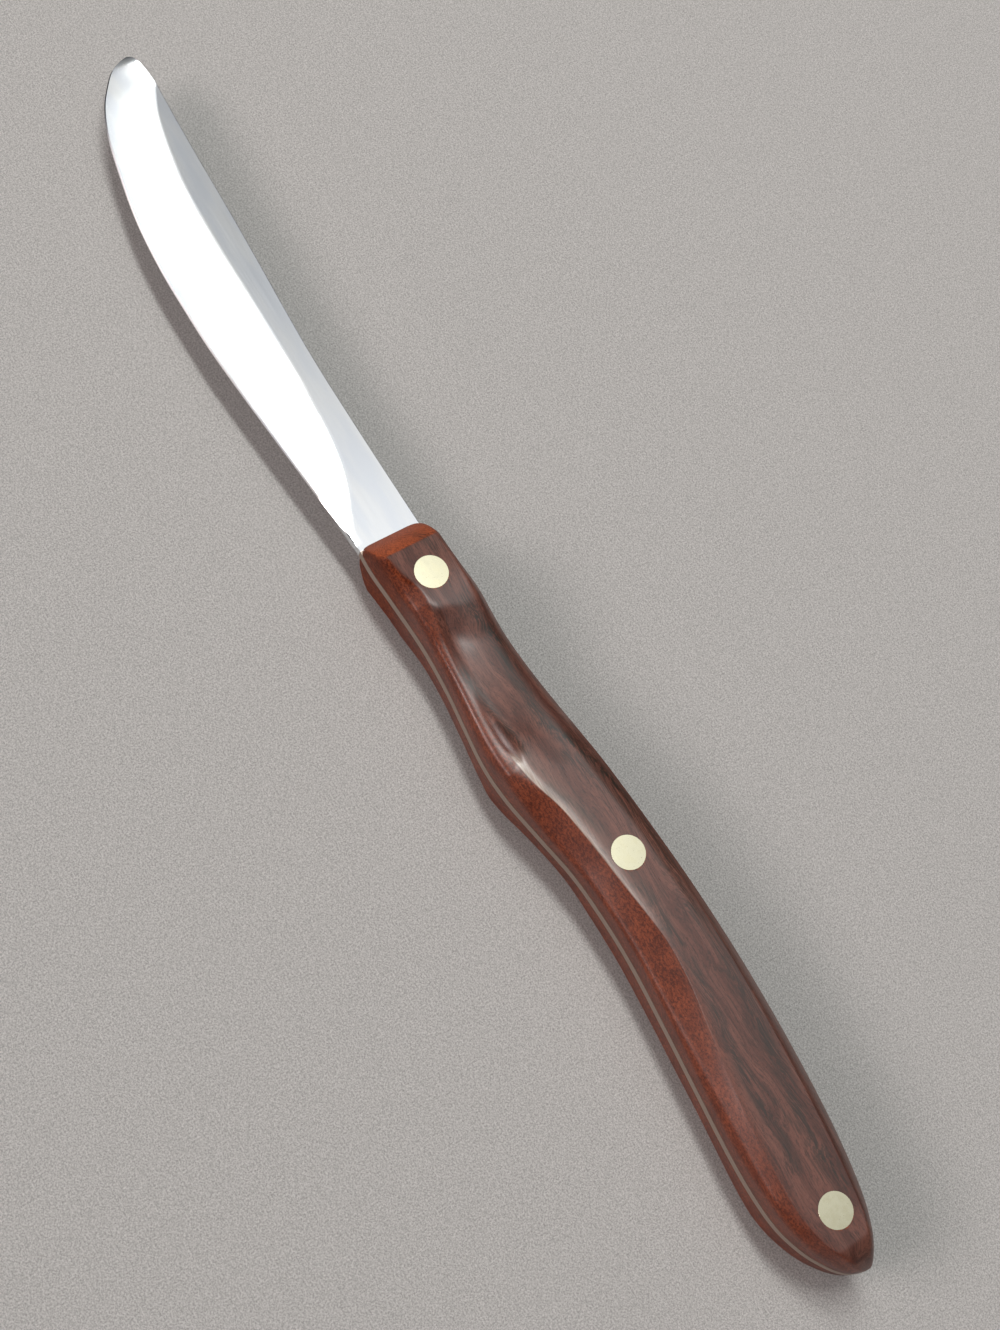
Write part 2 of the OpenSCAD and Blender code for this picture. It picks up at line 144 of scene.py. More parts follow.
# Softening of the wood by x along the handle: the rounding where the flat
# meets the sculpted sides, the blur of the dish's crease, and the worn fall
# of the flat to the ridge, with its width. The flat lies FLAT_SINK below the
# rivet heads.
RIDGE_ROUND = [[0, 0.2], [3, 0.2], [4.5, 0.05], [9.6, 0.05], [11, 0.2], [62, 0.2], [72, 0.04],
               [130, 0.04]]
CREASE_BLUR = [[0, 0.25], [15, 0.3], [20, 0.5], [36, 0.5], [42, 0.3], [130, 0.25]]
WEAR = [[0, 0], [36, 0], [40, 0.1], [43, 0.16], [48, 0.13], [56, 0.11], [68, 0.08], [76, 0.03],
        [82, 0], [130, 0]]
WEAR_W = 1.3
FLAT_SINK = 0.015
# Where the scale meets the tang its wall draws in, over a small height
FOOT_EASE, FOOT_EASE_H = 0.05, 0.2

# Points of a section: each wall's foot side, corner and top side, the dish
# before and after its crease, and the whole line once it is resampled
BELLY_WALL_POINTS, SPINE_WALL_POINTS = (60, 140, 90), (20, 160, 30)
DISH_POINTS = (60, 200)
RING_POINTS = 118
# The blur's step, and its reach on each side as a multiple of its spread
BLUR_STEP, BLUR_REACH = 0.05, 3
# Resampling packs points near the flat's edge: how near, how much closer,
# and the squared rises per point between which a line counts as sloping
CLOSE_W, CLOSE_GAIN, SLOPING = 0.22, 3.5, (-0.00005, 0.000125)
# Step between sections, and places where it is finer, with spread and step,
# found on a fine scan of the handle's length
SCAN_POINTS, SECTION_STEP = 6000, 0.36
FINE_SECTIONS = [(0, 1.0, 0.1), (FRONT_SLOPE_L, 0.8, 0.18), (15, 1.8, 0.13), (42, 4.0, 0.16),
                 (127.5, 2.2, 0.16), (HANDLE_L, 0.6, 0.05)]

# Sections and points of the blade, the narrow sharpened land and half
# thickness at its edge, and the rounding of its spine
BLADE_SECTIONS, GRIND_POINTS, FLAT_POINTS = 260, 16, 12
EDGE_LAND_W, SHARP_HALF_T, SPINE_ROUND = 0.25, 0.03, 0.1
# Limits as shares: the grind's part of the blade's width, the land's part of
# the grind, the rounding's part of the flat, and the rounding's first step
GRIND_LIMITS, LAND_LIMIT, ROUND_LIMIT, ROUND_STEP = (0.04, 0.97), 0.4, 0.2, 0.3
# x between which bright steel turns into the duller tang, whose colour is tinted brown as a painted
# reflection of the wood and its shade
TANG_FROM = (0.1, 0.3)

# Rivets: crown and edge easing of the heads, and rings as shares of a radius
HEAD_CROWN, HEAD_EASE = 0.01, 0.008
CROWN_RINGS, SLEEVE_RINGS = (0.25, 0.5, 0.7, 0.85, 0.95, 0.985), (0.5, 0.985)
TURNED_SIDES = 96
# How far the cutters of the bores pass the knife's middle and its face
CUT_OVERRUN = 1

# Corners sharper than this many degrees stay crisp
BLADE_CRISP, WOOD_CRISP, RIVET_CRISP = 20, 35, 40

# Marks on the wood. Each table gives a strength, or else a width, by x.
# Worn rim of the flat behind the dish, painted pale for its wear and as a
# highlight of the light on the rounded ridge, with a painted sheen beside it,
# and how far outside the ridge it fades out
RIM_HIGHLIGHT_AND_WEAR = [[0, 0], [39, 0], [40.8, 0.9], [46, 0.95], [57, 0.8], [68, 0.4], [76, 0], [130, 0]]
RIM_HIGHLIGHT_W = [[0, 0.3], [39, 0.8], [43, 0.85], [48, 0.45], [56, 0.32], [130, 0.3]]
PAINTED_SHEEN, PAINTED_SHEEN_W, RIM_HIGHLIGHT_FADE = 0.25, 2.2, (-0.25, -0.05)
# Dull parts: the dish's crease, the dish beyond it, the belly edge of the pad
# in front and the pad's whole face, the roll beside the dish, and the spine
# side behind it. The fades are in y, from the crease or, for ROLL_START and
# DULL_PAD_AT, from the ridge, and SPINE_FADE from the flat's spine edge.
DULL_CREASE = [[0, 0], [16, 0], [20, 0.5], [32, 0.6], [36, 0.9], [40, 0.9], [41.5, 0.2], [43, 0],
               [130, 0]]
DULL_DISH = [[0, 0], [17, 0], [21, 0.1], [25, 0.35], [36, 0.4], [41, 0], [130, 0]]
DULL_PAD = [[0, 0], [3.6, 0], [5.2, 1], [9.6, 1], [11, 0], [130, 0]]
DULL_FACE = [[0, 0.6], [9, 0.6], [12, 0.3], [15, 0], [17, 0], [130, 0]]
DULL_ROLL = [[0, 0], [14, 0], [16, 0.8], [26, 0.6], [31, 0.1], [34, 0], [130, 0]]
DULL_SPINE = [[0, 0], [36, 0], [43, 0.8], [66, 0.8], [80, 0.3], [90, 0], [130, 0]]
DULL_CREASE_W, DULL_PAD_W, DULL_PAD_AT = 1.0, 0.8, -0.2
DISH_FADE, ROLL_START, ROLL_END, SPINE_FADE = (0, 1), (-0.3, 0.1), (-0.1, 0.4), (-0.5, 1)
# Polished line of the dish's roll, with its place from the ridge and width
POLISH = [[0, 0], [22, 0], [27, 0.6], [36, 1], [41, 0.8], [44, 0], [60, 0], [130, 0]]
POLISH_AT, POLISH_W = -0.3, 1.0
# Half width of the change from the face's colour to the belly side's
ACROSS_SOFT = [[0, 0.2], [15, 0.3], [20, 0.7], [37, 0.7], [41, 0.15], [44, 0.12], [60, 0.12],
               [68, 0.25], [82, 1.5], [112, 1.8], [130, 1.2]]
LEAST_SOFT = 0.1
# How far up, or forward for FRONT_TILT, the surface faces where a mark starts
# and where it is whole. For WALL_TILT it is the colour of the handle's face.
WALL_TILT, FRONT_TILT, SLOPE_TILT = (0.3, 0.8), (0.2, 0.5), (0.3, 0.6)
ROLL_TILT, FLAT_TILT, LINE_TILT = (0.3, 0.5), (0.8, 0.95), (0.3, 0.7)
# Dark lines of the grain on the handle's face: half width, strength and
# points on the flat, in x and y
GRAIN_LINES = [
    (0.8, 0.9, [(15.8, 2.1), (20.5, 3.0), (23, 3.8), (26.3, 3.5), (29.4, 2.9), (32.8, 2.8),
                (37.8, 2.4), (42.2, 4.4), (46.1, 5.3), (50, 6.3), (54.2, 7.1)]),
    (0.9, 0.7, [(43.9, 2.6), (47.3, 4.2), (50.7, 5.3), (54.4, 6.2), (60.8, 7.1),
                (67.4, 7.3), (75.7, 6.6)]),
    (0.5, 0.7, [(47, -2.5), (48.2, -2.3), (50.9, -0.8), (53.5, 0.1), (56, 0.6)]),
    (0.6, 0.8, [(66, 1.0), (68, 1.6), (70.8, 1.7), (76.9, 1.7), (81.2, 1.6), (85.2, 1.1),
                (89.4, 0.5), (95.4, -0.6), (100, -1.1), (107.5, -0.9), (112, -1.5)]),
    (0.9, 0.8, [(72.6, 6.6), (76.7, 7.1), (82.8, 6.5), (88.5, 6.2), (93, 5.4), (96.9, 4.9),
                (101.6, 4.4), (107.4, 3.0), (111.7, 2.7), (117.6, 3.0)]),
    (0.4, 0.6, [(93, -0.2), (95.4, -0.4), (98.8, 0.2), (102.3, 1.0), (106, 1.3)]),
    (0.8, 0.6, [(3.2, 1.6), (4.5, 2.2), (6.3, 2.8)]),
    (0.5, 0.7, [(25, -3.7), (30, -3.5), (34, -3.2), (38, -2.9), (41, -2.6)]),
]


def along(table, x):
    """Smooth curve through a table of [place, value] pairs."""
    place, value = np.array(table, float).T
    last = len(place) - 1
    before = np.maximum(np.arange(last + 1) - 1, 0)
    after = np.minimum(np.arange(last + 1) + 1, last)
    slope = (value[after] - value[before]) / (place[after] - place[before])
    i = np.clip(np.searchsorted(place, x, side="right") - 1, 0, last - 1)
    w = place[i + 1] - place[i]
    u = np.clip((x - place[i]) / w, 0, 1)
    return ((2 * u**3 - 3 * u**2 + 1) * value[i] + (u**3 - 2 * u**2 + u) * w * slope[i]
            + (3 * u**2 - 2 * u**3) * value[i + 1] + (u**3 - u**2) * w * slope[i + 1])


def top_line(scoop):
    """Height of the sculpted top along one side of the handle."""
    return ([[0, HALF_BLADE_T + FRONT_LIP_T]]
            + [[a * FRONT_SLOPE_L, b * HALF_T] for a, b in FRONT_RISE]
            + [[FRONT_SLOPE_L + FRONT_FLAT_L / 2, HALF_T + PLANE_ALLOWANCE]]
            + [[FRONT_FLAT_END + a * SCOOP_L, HALF_T - b * SCOOP_DEPTH] for a, b in scoop]
            + [[FRONT_FLAT_END + CREST * SCOOP_L, HALF_T + PLANE_ALLOWANCE]]
            + [[(SCOOP_END + BUTT_START) / 2, HALF_T + PLANE_ALLOWANCE]]
            + [[BUTT_START + a * BUTT_SLOPE_L, b * HALF_T] for a, b in BUTT_FALL])


def smooth_step(low, high, value):
    """0 up to low, 1 from high on, and a smooth change between them."""
    u = np.clip((value - low) / (high - low), 0, 1)
    return u * u * (3 - 2 * u)


def soft_min(a, b, k):
    """The lower of a and b, with the corner between them rounded."""
    h = np.maximum(k - np.abs(a - b), 0) / k
    return np.minimum(a, b) - h * h * k / 4


def wall(foot, corner, top, hold, counts):
    """Points from the foot of a wall, round its corner, to the top. hold is
    the straight share of both sides, and counts are the points of the foot's
    side, the corner and the top's side."""
    low, high = foot + (corner - foot) * hold, top + (corner - top) * hold
    p1, p2 = low + (corner - low) * BEND, high + (corner - high) * BEND
    rise = np.linspace(0, 1, counts[0], endpoint=False)[:, None]
    u = np.linspace(0, 1, counts[1], endpoint=False)[:, None]
    run = np.linspace(0, 1, counts[2])[:, None]
    bend = (1 - u)**3 * low + 3 * (1 - u)**2 * u * p1 + 3 * (1 - u) * u**2 * p2 + u**3 * high
    return np.vstack([foot + (low - foot) * rise, bend, high + (top - high) * run])


def handle_lines(x):
    """The handle's outline on its belly and its spine side at x, and how far
    in from each of them the flat begins."""
    share = x / HANDLE_L
    belly, spine = along(BELLY, share) * HANDLE_W, along(SPINE, share) * HANDLE_W
    width = spine - belly
    return belly, spine, along(BELLY_REACH, share) * width, along(SPINE_REACH, share) * width


def section(x):
    """One section of the upper scale as (y, z) points, from its belly foot
    over the top to its spine foot."""
    share = x / HANDLE_L
    belly, spine, reach, back = handle_lines(x)
    inset = 0.0
    if x < FRONT_CORNER_R:
        inset = FRONT_CORNER_R - math.sqrt(FRONT_CORNER_R**2 - (FRONT_CORNER_R - x)**2)
    low_y, high_y = belly + inset, spine - inset
    belly_z, spine_z = along(top_line(BELLY_SCOOP), x), along(top_line(SPINE_SCOOP), x)
    corner_z = along(BELLY_CORNER, share) * min(belly_z, HALF_T)
    rise = max(belly_z - HALF_T, 0)
    run = rise * reach / (HALF_T - corner_z) if rise > 0 else 0
    belly_top = np.array([low_y + reach + run, belly_z])
    spine_top = np.array([high_y - back - max(spine_z - HALF_T, 0) * PLANE_RUN, spine_z])
    left = wall(np.array([low_y, HALF_BLADE_T]),
                np.array([low_y, max(corner_z, HALF_BLADE_T)]), belly_top,
                along(BELLY_HOLD, share), BELLY_WALL_POINTS)
    right = wall(np.array([high_y, HALF_BLADE_T]), np.array([high_y, spine_z]), spine_top,
                 SPINE_HOLD, SPINE_WALL_POINTS)[::-1]
    u = np.concatenate([np.linspace(0, CREASE_AT, DISH_POINTS[0])[1:],
                        np.linspace(CREASE_AT, 1, DISH_POINTS[1])[1:-1]])
    crease_z = along(top_line(CREASE_SCOOP), x)
    beyond = np.clip((1 - u) / (1 - CREASE_AT), 0, 1)
    top_z = (belly_z + (crease_z - belly_z) * smooth_step(0, CREASE_AT, u)
             + (spine_z - crease_z) * (1 - beyond**3 * (4 - 3 * beyond)))
    top = np.stack([belly_top[0] + (spine_top[0] - belly_top[0]) * u, top_z], 1)
    points = blurred(np.vstack([left, top, right]), along(CREASE_BLUR, x))
    raw = points[:, 1].copy()
    worn = along(WEAR, x) * np.clip(1 - (points[:, 0] - low_y - reach) / WEAR_W, 0, 1)**2
    points[:, 1] = soft_min(raw, HALF_T - FLAT_SINK - worn, along(RIDGE_ROUND, x))
    return eased_feet(resample(points, np.abs(raw - HALF_T)))


def blurred(points, spread):
    """The same line with its corners softened, and both feet kept."""
    run = np.concatenate([[0], np.cumsum(np.hypot(*np.diff(points, axis=0).T))])
    even = np.linspace(0, run[-1], int(run[-1] / BLUR_STEP) + 2)
    line = np.stack([np.interp(even, run, points[:, k]) for k in (0, 1)], 1)
    reach = int(BLUR_REACH * spread / BLUR_STEP)
    kernel = np.exp(-0.5 * (np.arange(-reach, reach + 1) * BLUR_STEP / spread)**2)
    kernel /= kernel.sum()
    before, after = 2 * line[0] - line[reach:0:-1], 2 * line[-1] - line[-2:-reach - 2:-1]
    padded = np.vstack([before, line, after])
    return np.stack([np.convolve(padded[:, k], kernel, "valid") for k in (0, 1)], 1)


def resample(points, from_flat):
    """The same line with points closer together near the edge of the flat."""
    step = np.hypot(*np.diff(points, axis=0).T)
    near = np.exp(-0.5 * (from_flat / CLOSE_W)**2)
    near *= smooth_step(*SLOPING, np.gradient(points[:, 1])**2)
    weight = 1 + CLOSE_GAIN * (near[1:] + near[:-1]) / 2
    run = np.concatenate([[0], np.cumsum(step * weight)])
    wanted = np.linspace(0, run[-1], RING_POINTS)
    return np.stack([np.interp(wanted, run, points[:, k]) for k in (0, 1)], 1)


def eased_feet(line):
    """The line with both feet drawn in a little, where they meet the tang."""
    inward = FOOT_EASE * np.clip(1 - (line[:, 1] - HALF_BLADE_T) / FOOT_EASE_H, 0, 1)**2
    middle = line[:, 0].mean()
    line[:, 0] += np.where(line[:, 0] < middle, inward, -inward)
    return line


def stations():
    """Places along the handle where a section is taken, closer together
    where the form turns."""
    dense = np.linspace(0, HANDLE_L, SCAN_POINTS)
    rate = np.full_like(dense, 1 / SECTION_STEP)
    for at, spread, fine in FINE_SECTIONS:
        rate += (1 / fine - 1 / SECTION_STEP) * np.exp(-0.5 * ((dense - at) / spread)**2)
    total = np.concatenate([[0], np.cumsum((rate[1:] + rate[:-1]) / 2 * np.diff(dense))])
    return np.interp(np.linspace(0, total[-1], int(total[-1])), total, dense)


def in_row_frame(points):
    """Points in this script's frame, put in the row frame, in metres."""
    return (np.asarray(points, float) - HEAD_AT) * MM + np.array(HEAD_CENTRE)


def loft(name, rings):
    """A closed mesh over a row of rings of equal count."""
    rings = np.asarray(rings)
    n, m = rings.shape[:2]
    i, j = np.meshgrid(np.arange(n - 1), np.arange(m), indexing="ij")
    a, b = i * m + j, i * m + (j + 1) % m
    quads = np.stack([a, b, b + m, a + m], -1).reshape(-1, 4).tolist()
    faces = quads + [list(range(m))[::-1], [(n - 1) * m + k for k in range(m)]]
    return solid(name, rings.reshape(-1, 3), faces)


def solid(name, points, faces):
    """A mesh object, with its outside facing out."""
    mesh = bpy.data.meshes.new(name)
    mesh.from_pydata(in_row_frame(points).tolist(), [], faces)
    b = bmesh.new()
    b.from_mesh(mesh)
    if b.calc_volume(signed=True) < 0:
        bmesh.ops.reverse_faces(b, faces=b.faces)
    b.to_mesh(mesh)
    b.free()
    return placed(name, mesh)


def placed(name, data):
    """A new object in the scene with the given mesh, light or camera."""
    made = bpy.data.objects.new(name, data)
    bpy.context.scene.collection.objects.link(made)
    return made


def lathe(name, centre, profile):
    """A turned solid. The profile runs as (radius, z) from axis to axis."""
    sides = TURNED_SIDES
    turn = np.linspace(0, 2 * math.pi, sides, endpoint=False)
    inner = profile[1:-1]
    points = [(centre[0], centre[1], profile[0][1])]
    for radius, z in inner:
        points += [(centre[0] + radius * math.cos(t), centre[1] + radius * math.sin(t), z)
                   for t in turn]
    points.append((centre[0], centre[1], profile[-1][1]))
    faces = [[0, 1 + (k + 1) % sides, 1 + k] for k in range(sides)]
    for r in range(len(inner) - 1):
        base = 1 + r * sides
        faces += [[base + k, base + (k + 1) % sides,
                   base + sides + (k + 1) % sides, base + sides + k]
                  for k in range(sides)]
    base, last = 1 + (len(inner) - 1) * sides, len(points) - 1
    faces += [[base + k, base + (k + 1) % sides, last] for k in range(sides)]
    return solid(name, points, faces)


def cut(target, cutter):
    """Takes the cutter's space out of the target's mesh."""
    change = target.modifiers.new("cut", "BOOLEAN")
    change.operation, change.solver, change.object = "DIFFERENCE", "EXACT", cutter
    graph = bpy.context.evaluated_depsgraph_get()
    mesh = bpy.data.meshes.new_from_object(target.evaluated_get(graph))
    target.modifiers.clear()
    target.data = mesh
    bpy.data.objects.remove(cutter)


def shade(piece, angle):
    """Smooth shading, with edges sharper than the angle kept crisp."""
    mesh = piece.data
    mesh.polygons.foreach_set("use_smooth", np.ones(len(mesh.polygons), bool))
    mesh.set_sharp_from_angle(angle=math.radians(angle))


def rivet_bores(mirror):
    """Solids of the holes through one scale: the shank's bore and the
    counterbore that the head sits in."""
    r_head, r_bore = HEAD_D / 2 + FIT_GAP, SLEEVE_D / 2 + FIT_GAP
    low, shoulder, high = -CUT_OVERRUN, HALF_T - HEAD_T, HALF_T + CUT_OVERRUN
    profile = [(0, low), (r_bore, low), (r_bore, shoulder), (r_head, shoulder),
               (r_head, high), (0, high)]
    for name, centre in RIVETS.items():
        yield lathe("bore_" + name, centre, [(r, z * mirror) for r, z in profile])


def scale(name, mirror):
    """One sculpted wood scale. mirror is 1 for the upper, -1 for the lower."""
    rings = [[(x, y, z * mirror) for y, z in section(x)] for x in stations()]
    piece = loft(name, rings)
    for cutter in rivet_bores(mirror):
        cut(piece, cutter)
    return piece


def distance_to(line, points):
    """Distance of points in the plane from a broken line."""
    best = np.full(len(points), 1e9)
    for a, b in zip(np.array(line[:-1]), np.array(line[1:])):
        u = np.clip((points - a) @ (b - a) / ((b - a) @ (b - a)), 0, 1)
        best = np.minimum(best, np.hypot(*(points - a - u[:, None] * (b - a)).T))
    return best


def paint(piece, name, values):
    """Stores a value for each point of a piece, for its material to read."""
    layer = piece.data.attributes.new(name, "FLOAT", "POINT")
    layer.data.foreach_set("value", np.asarray(values, np.float32))


def own_points(piece):
    """A piece's points in this script's frame."""
    co = np.zeros(len(piece.data.vertices) * 3, np.float32)
    piece.data.vertices.foreach_get("co", co)
    return (co.reshape(-1, 3) - np.array(HEAD_CENTRE)) / MM + HEAD_AT


def dress_scale(piece, grain_shift):
    """Marks the places that a scale's material tells apart: where it is cut
    across its layers, the front slope, the polished roll, the worn rim with
    its painted highlight and sheen, the dull parts, and the dark lines of the grain."""
    p = own_points(piece)
    x, y = p[:, 0], p[:, 1]
    normal = np.zeros(len(p) * 3, np.float32)
    piece.data.vertices.foreach_get("normal", normal)
    normal = normal.reshape(-1, 3)
    up = np.abs(normal[:, 2])
    belly, _, reach, _ = handle_lines(x)
    inside = y - belly - reach
    soft = np.maximum(along(ACROSS_SOFT, x), LEAST_SOFT)
    across = np.maximum(1 - smooth_step(*WALL_TILT, up), 1 - smooth_step(-soft, soft, inside))
    front = smooth_step(*FRONT_TILT, -normal[:, 0])
    paint(piece, "across", np.maximum(across, front))
    paint(piece, "front", front * smooth_step(*SLOPE_TILT, up))
    polish = np.exp(-((inside - POLISH_AT) / POLISH_W)**2) * along(POLISH, x)
    paint(piece, "polish", polish * smooth_step(*ROLL_TILT, up))
    # The rim's mark is wear together with a painted highlight, and a painted sheen beside it
    paint(piece, "rim_highlight_and_wear", rim_wear_and_highlight(x, inside) * smooth_step(*FLAT_TILT, up))
    paint(piece, "dull", dullness(x, y))
    dark = np.zeros(len(p))
    for half_width, strength, line in GRAIN_LINES:
        shifted = np.array(line) + grain_shift
        near = np.exp(-0.5 * (distance_to(shifted, p[:, :2]) / half_width)**2)
        dark = np.maximum(dark, strength * near)
    paint(piece, "dark_line", dark * smooth_step(*LINE_TILT, up))


def rim_wear_and_highlight(x, inside):
    """How much the flat takes of the worn rim's pale colour, which is wear with a painted highlight
    and a painted sheen beside it, from 0 to 1, at distances inside the ridge.
    """
    line = np.exp(-(inside / along(RIM_HIGHLIGHT_W, x))**2)
    # Painted sheen: a weaker pale band reaching further in from the ridge
    painted_sheen = PAINTED_SHEEN * np.exp(-(inside / PAINTED_SHEEN_W)**2)
    return along(RIM_HIGHLIGHT_AND_WEAR, x) * np.maximum(line, painted_sheen) * smooth_step(*RIM_HIGHLIGHT_FADE, inside)


def dullness(x, y):
    """How dull the wood is at points of the top, from 0 to 1."""
    belly, spine, reach, back = handle_lines(x)
    ridge = belly + reach
    crease = ridge + (spine - back - ridge) * CREASE_AT
    near_crease = np.exp(-((y - crease) / DULL_CREASE_W)**2) * along(DULL_CREASE, x)
    dish = smooth_step(*DISH_FADE, y - crease) * along(DULL_DISH, x)
    pad = np.exp(-((y - ridge - DULL_PAD_AT) / DULL_PAD_W)**2) * along(DULL_PAD, x)
    roll = (smooth_step(*ROLL_START, y - ridge) * (1 - smooth_step(*ROLL_END, y - crease))
            * along(DULL_ROLL, x))
    beyond = smooth_step(*SPINE_FADE, y - spine + back) * along(DULL_SPINE, x)
    face = along(DULL_FACE, x)
    return np.clip(np.max([near_crease, dish, pad, roll, beyond, face], axis=0), 0, 1)


def ground_z(u, depth, hollow):
    """Height of the ground face, at a share u of its width from the edge."""
    return HALF_BLADE_T - depth * (1 - u) - 4 * hollow * u * (1 - u)


def blade_ring(x, low, high, width, fade):
    """One section of the blade or its tang, at x, from low to high in y. The
    ground face is width wide, and fade is 1 where it has its full depth."""
    depth, hollow = (HALF_BLADE_T - HALF_EDGE_T) * fade, HOLLOW * fade
    span = high - low
    least, most = GRIND_LIMITS
    width = max(width, least * span)
    shown = min(width, most * span)
    round_w = min(SPINE_ROUND, ROUND_LIMIT * (span - shown))
    round_start = round_w * ROUND_STEP
    land = min(EDGE_LAND_W / shown, LAND_LIMIT)
    y = low + np.concatenate([[0], shown * np.linspace(land, 1, GRIND_POINTS),
                              np.linspace(shown, span - round_w, FLAT_POINTS)[1:]])
    u = np.minimum((y - low) / width, 1)
    z = ground_z(u, depth, hollow)
    z[0] += (SHARP_HALF_T - z[0]) * fade
    side = np.vstack([np.stack([y, z], 1),
                      [[high - round_start, z[-1] - round_start], [high, z[-1] - round_w]]])
    ring = np.vstack([side, side[::-1] * [1, -1]])
    return [(x, a, b) for a, b in ring]


def blade():
    """Blade and tang in one piece."""
    rings = []
    for k in range(BLADE_SECTIONS + 1):
        far = BLADE_L * (1 + math.cos(math.pi * k / BLADE_SECTIONS)) / 2
        share = far / BLADE_L
        low, high = along(EDGE, share) * BLADE_W, along(BLADE_SPINE, share) * BLADE_W
        low = max(low, EDGE_LIMIT)
        width = along(GRIND, share) * BLADE_W if share >= GRIND[0][0] else 0
        rings.append(blade_ring(-far, low, high, width, min(width / RUNOUT_W, 1)))
    for x in stations()[1:]:
        low, high = handle_lines(x)[:2]
        rings.append(blade_ring(x, low, high, 0, 0))
    made = loft("blade_and_tang", rings)
    paint(made, "tang", smooth_step(*TANG_FROM, own_points(made)[:, 0]))
    return made


def rivet_pin(name, centre):
    """Pin half: a faintly crowned head and a solid shank."""
    r, shank, ease = HEAD_D / 2, PIN_D / 2, HEAD_EASE
    bottom, head_under = HEAD_T + END_GAP - HALF_T, HALF_T - HEAD_T
    domed = [(r * s, HALF_T - HEAD_CROWN * s * s) for s in CROWN_RINGS]
    return lathe(name, centre, [
        (0, HALF_T), *domed, (r - ease, HALF_T - HEAD_CROWN), (r, HALF_T - HEAD_CROWN - ease),
        (r, head_under), (shank, head_under), (shank, bottom + ease),
        (shank - ease, bottom), (0, bottom)])


def rivet_sleeve(name, centre):
    """Sleeve half: a head with a tube that runs through both scales."""
    r, tube, ease = HEAD_D / 2, SLEEVE_D / 2, HEAD_EASE
    top, head_top = HALF_T - HEAD_T - END_GAP, HEAD_T - HALF_T
    bore = PIN_D / 2 + FIT_GAP
    face = [(r * s, -HALF_T) for s in SLEEVE_RINGS]
    return lathe(name, centre, [
        (0, -HALF_T), *face, (r - ease, -HALF_T), (r, -HALF_T + ease),
        (r, head_top), (tube, head_top), (tube, top), (bore, top),
        (bore, head_top), (0, head_top)])


class Graph:
    """Short calls for building a material's nodes."""

    def __init__(self, tree):
        self.tree = tree
        tree.nodes.clear()

    def put(self, node, key, value):
        """Links a socket to a node's input, or sets the input's own value."""
        if isinstance(value, bpy.types.NodeSocket):
            self.tree.links.new(value, node.inputs[key])
        else:
            node.inputs[key].default_value = value

    def add(self, kind, inputs=(), out=0, **settings):
        """A new node with its settings and inputs. Gives one of its outputs."""
        node = self.tree.nodes.new(kind)
        for key, value in settings.items():
            setattr(node, key, value)
        for key, value in dict(inputs).items():
            self.put(node, key, value)
        return node.outputs[out]

    def math(self, operation, a, b=0.0, c=0.0):
        return self.add("ShaderNodeMath", {0: a, 1: b, 2: c}, operation=operation)

    def scaled(self, vector, factors):
        return self.add("ShaderNodeVectorMath", {0: vector, 1: factors}, operation="MULTIPLY")

    def noise(self, vector, size, detail=3.0, rough=0.5):
        return self.add("ShaderNodeTexNoise", {"Vector": vector, "Scale": size, "Detail": detail,
                                               "Roughness": rough})

    def step(self, value, low, high, to_low=0.0, to_high=1.0):
        """to_low up to low, to_high from high on, and a smooth change between."""
        return self.add("ShaderNodeMapRange",
                        {"Value": value, "From Min": low, "From Max": high,
                         "To Min": to_low, "To Max": to_high},
                        interpolation_type="SMOOTHSTEP")

    def mix(self, factor, a, b):
        """Colour a where the factor is 0, and b where it is 1."""
        node = self.tree.nodes.new("ShaderNodeMix")
        node.data_type = "RGBA"
        for key, value in ((0, factor), (6, a), (7, b)):
            self.put(node, key, value)
        return node.outputs[2]

    def bump(self, height, depth_mm, strength=1.0):
        return self.add("ShaderNodeBump", {"Height": height, "Distance": depth_mm * MM,
                                           "Strength": strength})

    def attribute(self, name):
        return self.add("ShaderNodeAttribute", out=2, attribute_name=name)

    def millimetres(self):
        """Place on the object in millimetres."""
        coordinates = self.add("ShaderNodeTexCoord", out=3)
        return self.scaled(coordinates, (1 / MM, 1 / MM, 1 / MM))

    def surface(self, inputs):
        shader = self.add("ShaderNodeBsdfPrincipled", inputs)
        self.add("ShaderNodeOutputMaterial", {"Surface": shader}, out=slice(None))


def colour(red, green, blue):
    """Linear colour from 0 to 255 values as seen on a screen."""
    def linear(v):
        v /= 255
        return v / 12.92 if v <= 0.04045 else ((v + 0.055) / 1.055)**2.4
    return (linear(red), linear(green), linear(blue), 1.0)


def new_material(name):
    """A new material, and the graph that its nodes go in."""
    made = bpy.data.materials.new(name)
    made.use_nodes = True
    return made, Graph(made.node_tree)


# Colours of the wood as seen on a screen, from 0 to 255: its face, its sides
# cut across the layers, and the marks on them. The worn rim's pale colour is
# partly wear and partly a painted highlight.
FACE, FACE_PALE, FACE_LINE, FACE_SPECK = (90, 53, 44), (120, 76, 64), (50, 38, 33), (44, 30, 25)
SIDE, SIDE_PALE, SIDE_SPECK, SIDE_GLINT = (110, 50, 30), (130, 63, 39), (60, 26, 18), (158, 88, 58)
FRONT_RED, STREAK, PORE, WORN_RIM_AND_HIGHLIGHT = (166, 84, 50), (42, 40, 35), (36, 22, 18), (202, 190, 178)
# Sizes of the noises in the wood, per millimetre along x, y and z, and how
# far the wave moves the grain
WAVE, BANDS, LINES, THREADS = (0.045, 0.16, 0.3), (0.03, 0.6, 0.9), (0.06, 4.2, 4.6), (0.14, 5.0, 5.0)
PORES, SPECKLE, BLOTCH = (0.6, 5.5, 5.5), (2.2, 3.2, 3.2), (0.25, 0.5, 0.5)
WAVE_REACH = 9.0


